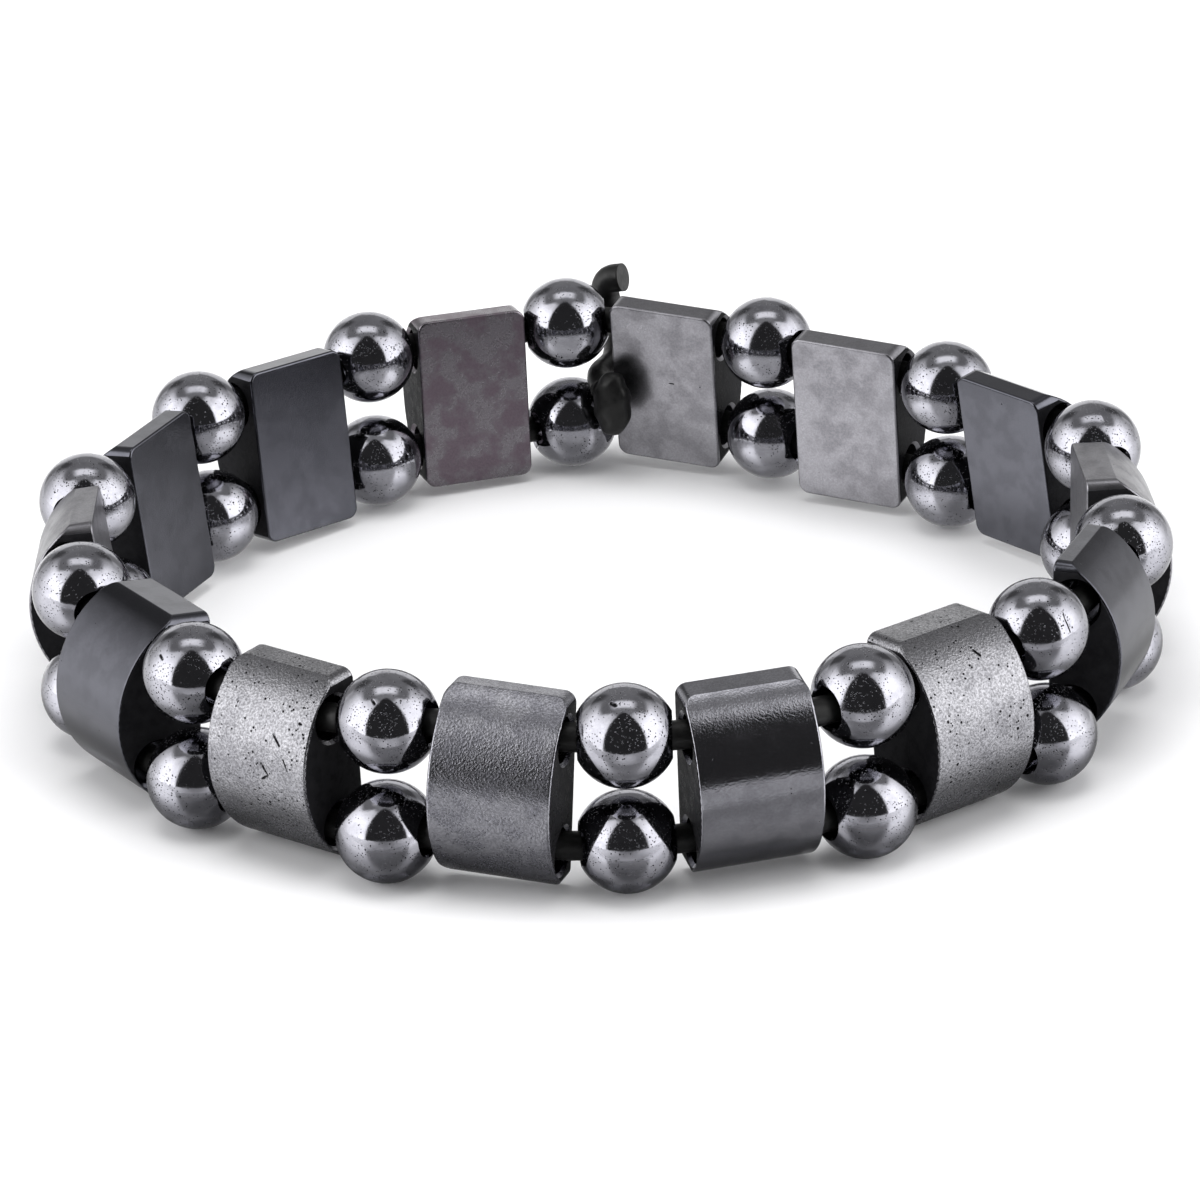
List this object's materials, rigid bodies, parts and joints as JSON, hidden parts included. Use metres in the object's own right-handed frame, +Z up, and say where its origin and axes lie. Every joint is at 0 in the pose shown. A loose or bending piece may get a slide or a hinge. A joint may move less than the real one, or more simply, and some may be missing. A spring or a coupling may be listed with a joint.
{
  "type": "magnetic bracelet",
  "caption": "Stretch bracelet of dark polished magnetic stone: half-barrel spacers with two holes alternate with stacked pairs of round beads on two elastic cords.",
  "frame": {"origin": "middle of the bracelet's box on the surface it lies on", "axes": "+Z up along the way a wrist goes through the bracelet, -Y towards the front as pictured"},
  "size_m": [0.0696, 0.0714, 0.0131],
  "materials": {
    "spacer_stone": "satin polished dark steel grey stone",
    "bead_stone": "mirror polished dark steel grey stone",
    "elastic_cord": "smooth black elastic"
  },
  "bodies": {
    "root": {"spacer_00": "spacer_stone", "spacer_01": "spacer_stone", "spacer_02": "spacer_stone", "spacer_03": "spacer_stone", "spacer_04": "spacer_stone", "spacer_05": "spacer_stone", "spacer_06": "spacer_stone", "spacer_07": "spacer_stone", "spacer_08": "spacer_stone", "spacer_09": "spacer_stone", "spacer_10": "spacer_stone", "spacer_11": "spacer_stone", "spacer_12": "spacer_stone", "spacer_13": "spacer_stone", "lower_bead_00": "bead_stone", "lower_bead_01": "bead_stone", "lower_bead_02": "bead_stone", "lower_bead_03": "bead_stone", "lower_bead_04": "bead_stone", "lower_bead_05": "bead_stone", "lower_bead_06": "bead_stone", "lower_bead_07": "bead_stone", "lower_bead_08": "bead_stone", "lower_bead_09": "bead_stone", "lower_bead_10": "bead_stone", "lower_bead_11": "bead_stone", "lower_bead_12": "bead_stone", "lower_bead_13": "bead_stone", "upper_bead_00": "bead_stone", "upper_bead_01": "bead_stone", "upper_bead_02": "bead_stone", "upper_bead_03": "bead_stone", "upper_bead_04": "bead_stone", "upper_bead_05": "bead_stone", "upper_bead_06": "bead_stone", "upper_bead_07": "bead_stone", "upper_bead_08": "bead_stone", "upper_bead_09": "bead_stone", "upper_bead_10": "bead_stone", "upper_bead_11": "bead_stone", "upper_bead_12": "bead_stone", "upper_bead_13": "bead_stone", "lower_cord": "elastic_cord", "upper_cord": "elastic_cord", "knot": "elastic_cord"}
  },
  "joints": []
}
